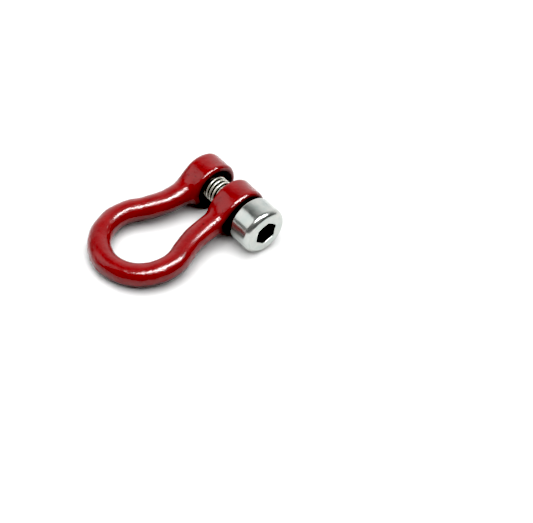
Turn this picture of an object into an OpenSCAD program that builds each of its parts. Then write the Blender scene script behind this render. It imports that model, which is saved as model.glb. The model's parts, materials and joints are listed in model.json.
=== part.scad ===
// Small bow shackle closed by a socket head cap screw.
// Lengths are in millimetres. The origin is on the screw's axis, midway between the two ears.
// +X runs along the screw towards its head, the bow reaches towards -Y, and +Z points up.
// The shackle lies on its side: its bow leans down, so that ears and crown touch one level floor.

/* [Bow] */
// thickness of the round rod
rod_d = 2.6; // [1.5:0.05:4]
// centreline radius of the crown
crown_r = 4.65; // [3:0.05:8]
// from the screw's axis to the centre of the crown
crown_y = 10.9; // [8:0.1:16]
// centreline radius of the reverse bend in each leg
bend_r = 11; // [5:0.5:20]
// from the middle plane to the centreline of each leg
leg_x = 2.9; // [2:0.05:5]

/* [Ears] */
// outside diameter of the ears
ear_d = 5.7; // [4:0.1:9]
// opening between the ears
jaw_gap = 2.2; // [1:0.1:6]
// thickness of each ear
ear_t = 3.2; // [2:0.1:6]
// rounding of the ears' rims
ear_round = 0.7; // [0.2:0.05:1]
// fillet where a leg swells into its ear
fillet_r = 2; // [1:0.1:4]
// bore of the far ear, which holds the thread
tapped_d = 3.1; // [2:0.05:5]
// bore of the ear next to the screw's head
clear_d = 3.3; // [2:0.05:5]

/* [Screw] */
// outside diameter of the thread
shank_d = 3; // [2:0.1:5]
// length under the head
shank_l = 8; // [5:0.5:16]
// diameter of the head
head_d = 5.5; // [4:0.1:9]
// height of the head
head_h = 3; // [2:0.1:5]
// gap left between the head and its ear
head_gap = 0.35; // [0:0.05:1]
// chamfer on the head's outer rim
head_chamfer = 0.25; // [0.1:0.05:0.6]
// hex socket across flats
key_af = 2.5; // [1.5:0.1:4]
// depth of the hex socket
key_depth = 1.5; // [0.8:0.1:2.5]
// angle of the hex socket about the axis
key_turn = 52; // [0:1:60]
// chamfer on the screw's tip
tip_chamfer = 0.3; // [0.1:0.05:0.6]

/* [Hidden] */
$fn = 96;
ear_in = jaw_gap / 2;
ear_out = ear_in + ear_t;
head_x = ear_out + head_gap;
tip_x = head_x - shank_l;
// angle at which the crown turns into the reverse bend
turn = acos((leg_x + bend_r) / (crown_r + bend_r));
leg_y = (crown_r + bend_r) * sin(turn) - crown_y;
leg_end = -0.4;
// where the fillet leaves the leg, and where it meets the ear
fillet_y = -sqrt(pow(ear_d / 2 + fillet_r, 2) - pow(rod_d / 2 + fillet_r, 2));
blend_y = fillet_y * ear_d / (ear_d + 2 * fillet_r);
fillet_steps = 8;
// lean of the bow below the XY plane when ears and crown rest on one floor
lie = asin((ear_d - rod_d) / 2 / (crown_y + crown_r));

// radius of a leg at a height between the fillet's two ends
function leg_r(y) = rod_d / 2 + fillet_r - sqrt(pow(fillet_r, 2) - pow(y - fillet_y, 2));

module arc(x, y, r, from, angle) {
    translate([x, y, 0]) rotate(from) rotate_extrude(angle = angle) translate([r, 0]) circle(d = rod_d);
}

// a hair-thin band round the rod where two of its bends meet
module band(x, y, angle) {
    translate([x, y, 0]) rotate(angle) rotate([90, 0, 0])
        cylinder(h = 0.3, d = rod_d + 0.02, center = true);
}

module leg(x) {
    swell = [for (i = [1:fillet_steps])
        let (y = fillet_y + (blend_y - fillet_y) * i / fillet_steps) [leg_r(y), y]];
    intersection() {
        translate([x, 0, 0]) rotate([-90, 0, 0]) rotate_extrude()
            polygon(concat(
                [[0, leg_y], [rod_d / 2, leg_y], [rod_d / 2, fillet_y]], swell,
                [[leg_r(blend_y), leg_end], [0, leg_end]]));
        translate([x > 0 ? ear_in + 0.05 : -ear_out + 0.05, leg_y - 1, -ear_d])
            cube([ear_t - 0.1, 1 - leg_y, 2 * ear_d]);
    }
}

module ear_profile() {
    square([ear_d / 2 - ear_round, ear_t]);
    translate([0, ear_round]) square([ear_d / 2, ear_t - 2 * ear_round]);
    for (z = [ear_round, ear_t - ear_round])
        translate([ear_d / 2 - ear_round, z]) circle(ear_round);
}

module ear(x) {
    translate([x, 0, 0]) rotate([0, 90, 0]) rotate_extrude() ear_profile();
}

module along_x(x) {
    translate([x, 0, 0]) rotate([0, 90, 0]) children();
}

module bow() {
    color([0.62, 0.07, 0.08])
    rotate([lie, 0, 0])
    difference() {
        union() {
            arc(0, -crown_y, crown_r, 180 - turn, 180 + 2 * turn);
            arc(leg_x + bend_r, leg_y, bend_r, 180, turn);
            arc(-leg_x - bend_r, leg_y, bend_r, -turn, turn);
            for (side = [-1, 1]) {
                band(side * crown_r * cos(turn), crown_r * sin(turn) - crown_y, side * turn);
                band(side * leg_x, leg_y, 0);
            }
            leg(leg_x);
            leg(-leg_x);
            ear(ear_in);
            ear(-ear_out);
        }
        along_x(-ear_out - 1) cylinder(h = ear_out + 1, d = tapped_d);
        along_x(0) cylinder(h = ear_out + 1, d = clear_d);
    }
}

module screw_shank() {
    color([0.78, 0.79, 0.77]) {
        along_x(tip_x) cylinder(h = tip_chamfer, d1 = shank_d - 2 * tip_chamfer, d2 = shank_d);
        along_x(tip_x + tip_chamfer) cylinder(h = shank_l - tip_chamfer, d = shank_d);
    }
}

module screw_head() {
    top = head_x + head_h;
    key_r = key_af / 2 / cos(30);
    color([0.78, 0.79, 0.77])
    difference() {
        union() {
            along_x(head_x) cylinder(h = head_h - head_chamfer, d = head_d);
            along_x(top - head_chamfer)
                cylinder(h = head_chamfer, d1 = head_d, d2 = head_d - 2 * head_chamfer);
        }
        along_x(top - key_depth) rotate(key_turn) cylinder(h = key_depth + 1, r = key_r, $fn = 6);
        along_x(top - key_depth - 0.4) cylinder(h = 0.45, d1 = 0.1, d2 = key_af - 0.2);
        along_x(top - 0.12) cylinder(h = 0.13, d1 = key_af, d2 = key_af + 0.52);
    }
}

bow();
screw_shank();
screw_head();
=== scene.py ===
"""A small bow shackle: a red cast bow, closed by a zinc-plated socket head cap screw."""

import json
from math import acos, asin, cos, hypot, pi, radians, sin, sqrt

import bpy
import numpy as np
import openvdb
from mathutils import Matrix, Vector


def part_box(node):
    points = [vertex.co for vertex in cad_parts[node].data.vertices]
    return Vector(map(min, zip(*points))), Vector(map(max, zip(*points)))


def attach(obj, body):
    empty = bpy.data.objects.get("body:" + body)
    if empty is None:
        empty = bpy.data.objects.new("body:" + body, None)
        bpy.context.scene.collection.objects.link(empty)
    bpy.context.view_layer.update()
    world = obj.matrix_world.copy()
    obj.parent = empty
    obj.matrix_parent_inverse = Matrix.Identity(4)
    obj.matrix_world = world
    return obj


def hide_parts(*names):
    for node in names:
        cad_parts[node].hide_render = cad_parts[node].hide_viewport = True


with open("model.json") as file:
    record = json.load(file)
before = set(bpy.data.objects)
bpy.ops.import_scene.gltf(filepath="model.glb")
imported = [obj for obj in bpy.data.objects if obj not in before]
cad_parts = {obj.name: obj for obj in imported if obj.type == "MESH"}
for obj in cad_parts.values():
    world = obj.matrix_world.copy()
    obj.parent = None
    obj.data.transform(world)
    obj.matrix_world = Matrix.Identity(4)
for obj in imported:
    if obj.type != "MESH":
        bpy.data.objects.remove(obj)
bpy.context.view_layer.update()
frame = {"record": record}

# Shapes are worked out in millimetres and stored in metres.
MM = 0.001


def node_box(node):
    """The lowest and highest corner of a CAD node, in millimetres."""
    return [Vector(corner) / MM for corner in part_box(node)]


def mount(name):
    """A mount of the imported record."""
    return next(m for m in frame["record"]["mounts"] if m["name"] == name)


bow_low, bow_high = node_box("bow")
shank_low, shank_high = node_box("screw_shank")
head_low, head_high = node_box("screw_head")

# ---------------------------------------------------------------- the bow's sizes
ROD_R = mount("bow_inside")["dims"]["r_mm"]
EAR_R = bow_high.z
CROWN_R = bow_high.x - ROD_R
# from the screw's axis to the middle of the rod at the crown
REACH = hypot(bow_low.y + ROD_R, EAR_R - ROD_R)
CROWN_Y = REACH - CROWN_R
# the bow leans down, so that its ears and its crown rest on one floor
LEAN = asin((EAR_R - ROD_R) / REACH)
BEND_R = 11
LEG_X = 2.9
# the rod is a little thicker where it meets the ears
NECK_R = ROD_R + 0.06
EAR_ROUND = 0.75
# the rims on the jaw's side are tighter
JAW_ROUND = 0.45
HEAD_GAP = 0.35
EAR_IN = mount("jaw_face_clear")["pos_m"][0] / MM
EAR_OUT = head_low.x - HEAD_GAP
# softness of the join between a leg and its ear
WELD = 1.3
# softness of the ears' edges at their flat faces, and of the mouths of the two bores
EDGE = 0.12
TAPPED_EDGE = 0.1
CLEAR_EDGE = 0.2
# how far the mouths of the tapped bore are countersunk
COUNTERSINK = 0.25
# height, half width and place of the casting's parting line, below the bow's middle plane
PARTING = (0.05, 0.12, 0.1)
# height and size of the casting's bumps, large and small
BUMPS = ((0.022, 2.6), (0.006, 0.8))
# the bumps and the parting line fade out this near to an ear's flat face
FADE = 0.4

# ---------------------------------------------------------------- the screw's sizes
PITCH = 0.5
CREST_R = shank_high.z
ROOT_R = CREST_R - 0.3
# where a flank starts and ends between crest and root, on the screw and in the ear
RIDGE = (0.34, 0.82)
GROOVE = (0.52, 0.98)
HEAD_R = head_high.z
KEY_AF = 2 * mount("key_socket")["dims"]["r_mm"]
KEY_DEPTH = mount("key_socket")["dims"]["length_mm"]
KEY_TURN = radians(22)
TIP_CHAMFER = 0.3
# the groove grows shallow over this length, and is gone this far below the head
RUN_OUT = 0.6
RUN_OUT_END = 0.3
# depth that the run-out keeps
RUN_OUT_DEPTH = 0.08
# chamfers of the head's rim and foot, and of the socket's mouth
RIM_CHAMFER = 0.42
FOOT_CHAMFER = 0.12
MOUTH_CHAMFER = 0.09
# clearance all round between the screw's thread and the ear's
THREAD_GAP = 0.06
CLEAR_R = 1.65


# ---------------------------------------------------------------- mesh sizes
# Grid steps: fine enough for the detail, and coarse enough for under 200,000 triangles a mesh.
BOW_STEP = 0.085
HEAD_STEP = 0.038
THREAD_STEP = 0.043


# ---------------------------------------------------------------- shape functions
# A thread's flank and a 45 degree cone are nearer than their radial distance by these shares.
STEEP = 0.6
SLOPED = 0.7


def union(a, b, soft):
    """Two distances joined with a fillet of about this size."""
    near = np.clip(1 - np.abs(a - b) / soft, 0, None)
    return np.minimum(a, b) - soft / 4 * near * near


def common(a, b, soft):
    """What two distances share, with a rounded edge."""
    return -union(-a, -b, soft)


def cut(a, b, soft):
    """The first distance less the second, with a rounded edge."""
    return common(a, -b, soft)


def waves(x, y, z, size, seed):
    """Gentle unevenness between about -1 and 1, with bumps of this size."""
    rng = np.random.default_rng(seed)
    total = 0
    for _ in range(6):
        direction = rng.normal(size=3)
        direction *= 2 * pi / size / np.linalg.norm(direction)
        total = total + np.sin(x * direction[0] + y * direction[1] + z * direction[2]
                               + rng.uniform(0, 2 * pi))
    return total / 3


def thread_radius(x, y, z, root, crest, flank):
    """Radius of a right-handed thread along +X. The flank runs from and to these shares of the
    way from the middle of the crest to the middle of the root."""
    turn = np.arctan2(z, y) / (2 * pi)
    phase = (x / PITCH - turn) % 1
    from_crest = np.abs(phase - 0.5) * 2
    slope = np.clip((from_crest - flank[0]) / (flank[1] - flank[0]), 0, 1)
    return crest - (crest - root) * slope


def solid(name, distance, low, high, step):
    """A smooth mesh of the surface where distance(x, y, z) is 0, all in millimetres."""
    low = [a - 3 * step for a in low]
    counts = [int((b - a) / step) + 4 for a, b in zip(low, high)]
    axes = [np.float32(a) + np.float32(step) * np.arange(n, dtype=np.float32)
            for a, n in zip(low, counts)]
    x, y, z = np.meshgrid(*axes, indexing="ij", sparse=True)
    grid = openvdb.FloatGrid(1.0)
    grid.copyFromArray(np.array(distance(x, y, z), dtype=np.float32))
    points, _, faces = grid.convertToPolygons(0.0)
    points = (points * step + np.array(low)) * MM
    # the faces come wound inwards or outwards, so the enclosed volume decides
    a, b, c = (points[faces[:, k]] for k in (0, 1, 2))
    if np.einsum("ij,ij->", a, np.cross(b, c)) < 0:
        faces = faces[:, ::-1]
    mesh = bpy.data.meshes.new(name)
    mesh.from_pydata(points.tolist(), [], faces.tolist())
    mesh.shade_smooth()
    piece = bpy.data.objects.new(name, mesh)
    bpy.context.collection.objects.link(piece)
    return piece


# ---------------------------------------------------------------- the bow
def rod_path():
    """Where the crown turns into the reverse bend: its angle, and the legs' lower end."""
    turn = acos((LEG_X + BEND_R) / (CROWN_R + BEND_R))
    return turn, (CROWN_R + BEND_R) * sin(turn) - CROWN_Y


def rod_distance(x, y, z):
    """Distance from the bow's rod, in the bow's own plane, and how far outside its middle line."""
    turn, leg_y = rod_path()
    side = np.abs(x)
    crown = np.hypot(side, y + CROWN_Y) - CROWN_R
    bend = BEND_R - np.hypot(side - LEG_X - BEND_R, y - leg_y)
    leg = side - LEG_X
    leg_foot = np.clip(y, None, 0) - y
    # past the turn the crown's circle gives way to the bend's, and that to the straight leg
    angle = np.arctan2(y + CROWN_Y, side)
    outside = np.where(y > leg_y, leg, np.where(angle < turn, crown, bend))
    radius = ROD_R + (NECK_R - ROD_R) * np.clip((y - leg_y + 3) / 4, 0, 1)
    return np.sqrt(outside**2 + z**2 + leg_foot**2) - radius, outside


def ears_distance(x, y, z):
    """Distance from both ears: short cylinders along X with rounded rims."""
    middle = (EAR_IN + EAR_OUT) / 2
    across = np.hypot(y, z)
    from_middle = np.abs(x) - middle
    soft = np.where(from_middle > 0, EAR_ROUND, JAW_ROUND)
    out = across - EAR_R + soft
    along = np.abs(from_middle) - (EAR_OUT - EAR_IN) / 2 + soft
    rim = np.hypot(np.maximum(out, 0), np.maximum(along, 0))
    return np.minimum(np.maximum(out, along), 0) + rim - soft


def bow_distance(x, y, z):
    """Distance from the painted bow, with its parting line and the casting's unevenness."""
    lean_y = y * cos(LEAN) + z * sin(LEAN)
    lean_z = z * cos(LEAN) - y * sin(LEAN)
    rod, outside = rod_distance(x, lean_y, lean_z)
    body = union(rod, ears_distance(x, y, z), WELD)
    across = np.hypot(y, z)
    # both faces of each ear stay flat, so that the head and an eye can lie against them
    past_rim = np.clip(across - EAR_R - 0.05, 0, None)
    faces = np.maximum(np.abs(x) - EAR_OUT, EAR_IN - np.abs(x)) - past_rim
    body = common(body, faces, EDGE)
    height, half_width, below = PARTING
    ridge = height * np.exp(-((lean_z + below) / half_width) ** 2) * np.clip(outside, 0, 1)
    ridge = ridge * (1 + 0.8 * waves(x, y, z, 1.1, 3))
    large, small = BUMPS
    uneven = large[0] * waves(x, y, z, large[1], 5) + small[0] * waves(x, y, z, small[1], 9)
    body = body - (ridge + uneven) * np.clip(-faces / FADE, 0, 1)
    tapped = across - thread_radius(x, y, z, ROOT_R + THREAD_GAP, CREST_R + THREAD_GAP, GROOVE)
    mouth = np.minimum(EAR_OUT + x, -EAR_IN - x)
    countersunk = across - CREST_R - COUNTERSINK + mouth
    tapped = np.minimum(tapped * STEEP, countersunk * SLOPED)
    body = np.where(x < 0, cut(body, tapped, TAPPED_EDGE), body)
    return np.where(x > 0, cut(body, across - CLEAR_R, CLEAR_EDGE), body)


def make_bow():
    return solid("painted_bow", bow_distance, bow_low, bow_high, BOW_STEP)


# ---------------------------------------------------------------- the screw
def thread_distance(x, y, z):
    """Distance from the threaded shank, with a chamfered tip and a run-out below the head."""
    across = np.hypot(y, z)
    run_out = np.clip((x - head_low.x + RUN_OUT_END) / RUN_OUT + 1, 0, 1)
    root = ROOT_R + (CREST_R - RUN_OUT_DEPTH - ROOT_R) * run_out
    side = (across - thread_radius(x, y, z, root, CREST_R - 0.01, RIDGE)) * STEEP
    tip = (across - CREST_R + TIP_CHAMFER - (x - shank_low.x)) * SLOPED
    ends = np.maximum(shank_low.x - x, x - head_low.x - 0.2)
    return common(common(side, tip, 0.06), ends, 0.08)


def hex_distance(y, z):
    """Distance from the hexagonal socket, across its flats."""
    turns = [KEY_TURN + pi / 6 + k * pi / 3 for k in range(3)]
    flats = [np.abs(y * cos(t) + z * sin(t)) for t in turns]
    return np.maximum(np.maximum(flats[0], flats[1]), flats[2]) - KEY_AF / 2


def head_distance(x, y, z):
    """Distance from the head: a smooth cylinder with a chamfered rim and a broached socket."""
    across = np.hypot(y, z)
    top = head_high.x
    side = across - HEAD_R + 0.01
    under = head_low.x + 0.03 - x
    rim = (side + x - top + RIM_CHAMFER) / sqrt(2)
    foot = (side + under + FOOT_CHAMFER) / sqrt(2)
    body = common(common(side, x - top, 0.12), rim, 0.22)
    body = common(body, common(under, foot, 0.08), 0.06)
    well = np.maximum(hex_distance(y, z), top - KEY_DEPTH - x)
    drill = (across - KEY_AF / 2 + 0.05 + (top - KEY_DEPTH - x) * 2) / sqrt(5)
    drill = np.maximum(drill, x - top + KEY_DEPTH - 0.05)
    mouth = (across - KEY_AF / 2 - MOUTH_CHAMFER + (top - x) * 1.2) / hypot(1, 1.2)
    socket = np.minimum(np.minimum(well, drill), mouth)
    return cut(body, socket, 0.05)


def make_screw():
    """The screw's head and its thread. Both turn and travel as one."""
    head = solid("screw_head_socket", head_distance, head_low, head_high, HEAD_STEP)
    thread = solid("screw_thread", thread_distance, shank_low, shank_high, THREAD_STEP)
    return head, thread


# ---------------------------------------------------------------- materials
class Nodes:
    """A material's node tree, with short ways to add to it."""

    def __init__(self, name):
        self.material = bpy.data.materials.new(name)
        self.material.use_nodes = True
        self.tree = self.material.node_tree
        self.shader = self.tree.nodes["Principled BSDF"]
        # all patterns are laid out in millimetres
        self.place = self.math_vector("SCALE", self.add("TexCoord").outputs["Object"], 1 / MM)

    def add(self, kind, **settings):
        node = self.tree.nodes.new("ShaderNode" + kind)
        for key, value in settings.items():
            setattr(node, key, value)
        return node

    def feed(self, socket, value):
        """Sets a socket to a value, or links it to another node's output."""
        if isinstance(value, bpy.types.NodeSocket):
            self.tree.links.new(value, socket)
        else:
            socket.default_value = value

    def math_vector(self, operation, vector, scale):
        node = self.add("VectorMath", operation=operation)
        self.feed(node.inputs[0], vector)
        node.inputs["Scale"].default_value = scale
        return node.outputs["Vector"]

    def math(self, operation, *values):
        node = self.add("Math", operation=operation)
        for socket, value in zip(node.inputs, values):
            self.feed(socket, value)
        return node.outputs[0]

    def noise(self, scale, detail=3, rough=0.5, vector=None):
        """Noise of this many bumps a millimetre, from 0 to 1."""
        node = self.add("TexNoise")
        self.feed(node.inputs["Vector"], vector or self.place)
        node.inputs["Scale"].default_value = scale
        node.inputs["Detail"].default_value = detail
        node.inputs["Roughness"].default_value = rough
        return node.outputs["Fac"]

    def ramp(self, value, low, high, start=0.0, end=1.0):
        """The value stretched from low..high to start..end."""
        node = self.add("MapRange")
        for socket, number in zip(node.inputs, (value, low, high, start, end)):
            self.feed(socket, number)
        return node.outputs[0]

    def separate(self, axis, vector=None):
        """One coordinate of a vector, or of the place in millimetres."""
        node = self.add("SeparateXYZ")
        self.feed(node.inputs[0], vector or self.place)
        return node.outputs[axis]

    def mix(self, factor, a, b):
        node = self.add("Mix", data_type="RGBA")
        self.feed(node.inputs["Factor"], factor)
        self.feed(node.inputs["A"], a)
        self.feed(node.inputs["B"], b)
        return node.outputs["Result"]

    def bump(self, height, depth, normal=None):
        """Bumps of this depth in millimetres."""
        node = self.add("Bump")
        node.inputs["Strength"].default_value = 1
        node.inputs["Distance"].default_value = depth * MM
        self.feed(node.inputs["Height"], height)
        if normal:
            self.feed(node.inputs["Normal"], normal)
        return node.outputs["Normal"]

    def set(self, **inputs):
        for name, value in inputs.items():
            self.feed(self.shader.inputs[name.replace("_", " ")], value)
        return self.material


CRIMSON_DARK = (0.19, 0.0035, 0.0045, 1)
CRIMSON_LIGHT = (0.27, 0.0055, 0.0065, 1)
SPECK = (0.06, 0.001, 0.002, 1)
# painted shade on the red paint
PAINTED_SHADE_RED = (0.012, 0.001, 0.001, 1)
BARE_STEEL = (0.30, 0.29, 0.27, 1)
ZINC_COOL = (0.46, 0.51, 0.49, 1)
ZINC_WARM = (0.60, 0.60, 0.57, 1)
# lighter than the head's zinc: painted reflection on the thread
THREAD_ZINC_PAINTED_SHEEN = (0.85, 0.84, 0.75, 1)
# painted shade on the zinc
PAINTED_SHADE_ZINC = (0.035, 0.042, 0.036, 1)
PAPER = (0.88, 0.88, 0.88, 1)


def from_axis(n):
    """Distance from the screw's axis."""
    y, z = n.separate(1), n.separate(2)
    return n.math("SQRT", n.math("ADD", n.math("MULTIPLY", y, y), n.math("MULTIPLY", z, z)))


def tapped_steel(n, paint):
    """Bare steel inside the tapped bore, with paint run raggedly over its first threads."""
    middle = (EAR_IN + EAR_OUT) / 2
    inside = n.math("LESS_THAN", from_axis(n), CREST_R + THREAD_GAP + 0.1)
    from_middle = n.math("ABSOLUTE", n.math("ADD", n.separate(0), middle))
    ragged = n.math("ADD", from_middle, n.ramp(n.noise(1.6, 2), 0, 1, -0.5, 0.5))
    deep = n.math("LESS_THAN", ragged, middle - EAR_IN - 0.5)
    bare = n.math("MULTIPLY", inside, deep)
    return bare, n.mix(bare, paint, BARE_STEEL)


def red_paint():
    """Glossy crimson enamel over a slightly rough casting, with painted shade inside the jaw, by
    the head, under the legs beside the jaw and on the underside, where the paint is also dull.
    """
    n = Nodes("red_paint")
    tone = n.ramp(n.noise(0.5, 4, 0.65), 0.3, 0.7)
    colour = n.mix(tone, CRIMSON_DARK, CRIMSON_LIGHT)
    specks = n.ramp(n.noise(3.2, 2, 0.4), 0.68, 0.74)
    colour = n.mix(n.math("MULTIPLY", specks, 0.6), colour, SPECK)
    off_middle = n.math("ABSOLUTE", n.separate(0))
    # painted shade inside the jaw, on the near ear by the head, and under the legs beside the jaw
    in_jaw = n.math("MULTIPLY", n.ramp(off_middle, EAR_IN + 0.22, EAR_IN + 0.08),
                    n.ramp(from_axis(n), EAR_R - 0.3, EAR_R - 0.6))
    by_head = n.math("MULTIPLY", n.ramp(n.separate(0), EAR_OUT - 0.4, EAR_OUT - 0.1),
                     n.ramp(from_axis(n), EAR_R + 1.4, EAR_R + 0.5))
    under = n.math("MULTIPLY", n.ramp(off_middle, EAR_IN + 1.4, EAR_IN + 0.7),
                   n.ramp(n.separate(2), -0.3, -1.3))
    under = n.math("MULTIPLY", under, n.ramp(from_axis(n), EAR_R + 2, EAR_R + 0.8))
    # painted shade on the bow's underside, which is duller too
    upward = n.separate(2, n.add("TexCoord").outputs["Normal"])
    below = n.ramp(upward, 0.1, -0.45, 0, 0.85)
    # one painted shade mask, which darkens the colour and takes the coat away
    painted_shade = n.math("MAXIMUM", n.math("MAXIMUM", in_jaw, by_head), n.math("MAXIMUM", under, below))
    colour = n.mix(painted_shade, colour, PAINTED_SHADE_RED)
    bare, colour = tapped_steel(n, colour)
    peel = n.bump(n.noise(2.4, 3, 0.6), 0.045)
    grain = n.bump(n.noise(8, 2, 0.5), 0.014, peel)
    return n.set(
        Base_Color=colour,
        Metallic=bare,
        Roughness=n.ramp(n.noise(1.3, 3, 0.6), 0.3, 0.7, 0.40, 0.55),
        Specular_IOR_Level=0.15,
        Coat_Weight=n.ramp(painted_shade, 0, 1, 1, 0),
        Coat_Roughness=0.05,
        Coat_IOR=1.5,
        Normal=grain,
        Coat_Normal=grain,
    )


def zinc_plate():
    """Bright zinc plating with fine turning marks, with painted shade in the thread's grooves and
    the socket.
    """
    n = Nodes("zinc_plate")
    across = from_axis(n)
    along = n.separate(0)
    lathe = n.add("CombineXYZ")
    n.feed(lathe.inputs[0], along)
    n.feed(lathe.inputs[1], across)
    marks = n.noise(7, 3, 0.6, lathe.outputs[0])
    clouds = n.noise(0.9, 4, 0.6)
    colour = n.mix(n.ramp(clouds, 0.3, 0.7), ZINC_COOL, ZINC_WARM)
    # painted shade deep in the socket
    in_socket = n.math("MULTIPLY",
                       n.ramp(across, KEY_AF / 2 + 0.25, KEY_AF / 2 + 0.2),
                       n.ramp(along, head_high.x - 0.12, head_high.x - 0.42))
    on_shank = n.math("LESS_THAN", along, head_low.x)
    # the thread's lighter zinc is painted reflection of the light from above
    colour = n.mix(on_shank, colour, THREAD_ZINC_PAINTED_SHEEN)
    # painted shade in the thread's grooves
    off_tip = n.math("GREATER_THAN", along, shank_low.x + TIP_CHAMFER)
    in_groove = n.math("MULTIPLY", n.math("MULTIPLY", on_shank, off_tip),
                       n.ramp(across, ROOT_R + 0.24, ROOT_R + 0.12))
    dark = n.math("MAXIMUM", n.math("MULTIPLY", in_socket, n.math("SUBTRACT", 1.0, on_shank)),
                  in_groove)
    colour = n.mix(dark, colour, PAINTED_SHADE_ZINC)
    # the end face is duller than the side
    on_face = n.ramp(along, head_high.x - 0.1, head_high.x - 0.04)
    duller = n.math("ADD", n.math("MULTIPLY", on_shank, 0.08), n.math("MULTIPLY", on_face, 0.14))
    return n.set(
        Base_Color=colour,
        Metallic=n.ramp(on_shank, 0, 1, 0.92, 0.7),
        Roughness=n.math("ADD", n.ramp(clouds, 0.3, 0.7, 0.16, 0.26), duller),
        Normal=n.bump(marks, 0.004, n.bump(n.noise(1.5, 2), 0.02)),
    )


# ---------------------------------------------------------------- building
def finish(piece, body, nodes, material):
    """The piece takes its material, moves with its body and stands for its CAD nodes."""
    piece.data.materials.append(material)
    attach(piece, body)
    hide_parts(*nodes)


def build():
    zinc = zinc_plate()
    finish(make_bow(), "bow", ["bow"], red_paint())
    head, thread = make_screw()
    finish(head, "screw_head", ["screw_head"], zinc)
    finish(thread, "screw_head", ["screw_shank"], zinc)


# ---------------------------------------------------------------- stage
CAMERA_AZIMUTH = 44.8
CAMERA_ELEVATION = 46.6
CAMERA_DISTANCE = 126.7
CAMERA_TARGET = (10.8, -2.65, 0)
CAMERA_ROLL = 6.8
LAMP_DISTANCE = 300
LAMP_TARGET = (0, -6, 0)
FLOOR_HALF = 160


def make_floor():
    """A sheet of white paper under the object."""
    size = FLOOR_HALF * MM
    mesh = bpy.data.meshes.new("floor")
    corners = [(-size, -size), (size, -size), (size, size), (-size, size)]
    mesh.from_pydata([(x, y, bow_low.z * MM) for x, y in corners], [], [(0, 1, 2, 3)])
    floor = bpy.data.objects.new("floor", mesh)
    bpy.context.collection.objects.link(floor)
    paper = Nodes("white_paper")
    floor.data.materials.append(paper.set(
        Base_Color=PAPER,
        Roughness=0.9,
        Specular_IOR_Level=0.1,
    ))
    # the paper's bounce light would wash out the paint's dark undersides
    floor.visible_diffuse = False


def aim(thing, azimuth, elevation, distance, target, roll=0.0):
    """Places a lamp or camera on this bearing from the target, looking at it. In millimetres."""
    a, e, r = radians(azimuth), radians(elevation), radians(roll)
    back = Vector((sin(a) * cos(e), -cos(a) * cos(e), sin(e)))
    right = Vector((cos(a), sin(a), 0))
    up = back.cross(right)
    side = right * cos(r) + up * sin(r)
    top = up * cos(r) - right * sin(r)
    spot = (Vector(target) + back * distance) * MM
    thing.matrix_world = Matrix.Translation(spot) @ Matrix((side, top, back)).transposed().to_4x4()


def softbox(name, azimuth, elevation, size, power, gloss, roll=0.0):
    """A rectangular lamp, for gloss or for everything else. Sizes are in millimetres."""
    lamp = bpy.data.lights.new(name, "AREA")
    lamp.shape = "RECTANGLE"
    lamp.size, lamp.size_y = size[0] * MM, size[1] * MM
    lamp.energy = power
    thing = bpy.data.objects.new(name, lamp)
    bpy.context.collection.objects.link(thing)
    thing.visible_glossy = gloss
    thing.visible_diffuse = not gloss
    aim(thing, azimuth, elevation, LAMP_DISTANCE, LAMP_TARGET, roll)


def make_room():
    """A white surround that shows in what is glossy as a dim room, and lights little."""
    world = bpy.context.scene.world or bpy.data.worlds.new("world")
    bpy.context.scene.world = world
    world.use_nodes = True
    tree = world.node_tree
    towards_back = tree.nodes.new("ShaderNodeVectorMath")
    towards_back.operation = "DOT_PRODUCT"
    a = radians(CAMERA_AZIMUTH)
    towards_back.inputs[1].default_value = (-sin(a), cos(a), 0)
    direction = tree.nodes.new("ShaderNodeTexCoord").outputs["Generated"]
    tree.links.new(direction, towards_back.inputs[0])
    shown = tree.nodes.new("ShaderNodeMapRange")
    for socket, value in (("From Min", 0.3), ("From Max", 0.8), ("To Min", 0.05), ("To Max", 0.8)):
        shown.inputs[socket].default_value = value
    tree.links.new(towards_back.outputs["Value"], shown.inputs["Value"])
    rays = tree.nodes.new("ShaderNodeLightPath")
    strength = tree.nodes.new("ShaderNodeMapRange")
    strength.inputs["To Min"].default_value = 0.1
    tree.links.new(rays.outputs["Is Glossy Ray"], strength.inputs["Value"])
    tree.links.new(shown.outputs["Result"], strength.inputs["To Max"])
    seen = tree.nodes.new("ShaderNodeMath")
    seen.operation = "MAXIMUM"
    tree.links.new(strength.outputs["Result"], seen.inputs[0])
    tree.links.new(rays.outputs["Is Camera Ray"], seen.inputs[1])
    tree.links.new(seen.outputs["Value"], tree.nodes["Background"].inputs["Strength"])
    tree.nodes["Background"].inputs["Color"].default_value = (1, 1, 1, 1)


def make_light():
    softbox("overhead", CAMERA_AZIMUTH, 86, (420, 420), 1.42, False)
    softbox("sheen", CAMERA_AZIMUTH + 55, 67, (350, 50), 1.9, True, -29)
    softbox("window", CAMERA_AZIMUTH - 86, 33, (170, 250), 0.13, True)
    softbox("fill", CAMERA_AZIMUTH + 45, 30, (150, 150), 0.06, False)
    make_room()


def make_camera():
    lens = bpy.data.cameras.new("camera")
    lens.sensor_width = 36
    lens.lens = 81
    lens.clip_start = 0.01
    camera = bpy.data.objects.new("camera", lens)
    bpy.context.collection.objects.link(camera)
    aim(camera, CAMERA_AZIMUTH, CAMERA_ELEVATION, CAMERA_DISTANCE, CAMERA_TARGET, CAMERA_ROLL)
    bpy.context.scene.camera = camera


def set_view():
    """A plain view with the contrast of a product picture on white."""
    view = bpy.context.scene.view_settings
    view.view_transform = "Standard"
    view.use_curve_mapping = True
    view.curve_mapping.black_level = (0.025, 0.025, 0.025)
    view.curve_mapping.white_level = (0.72, 0.72, 0.72)
    view.curve_mapping.update()


build()
make_floor()
make_light()
make_camera()
set_view()
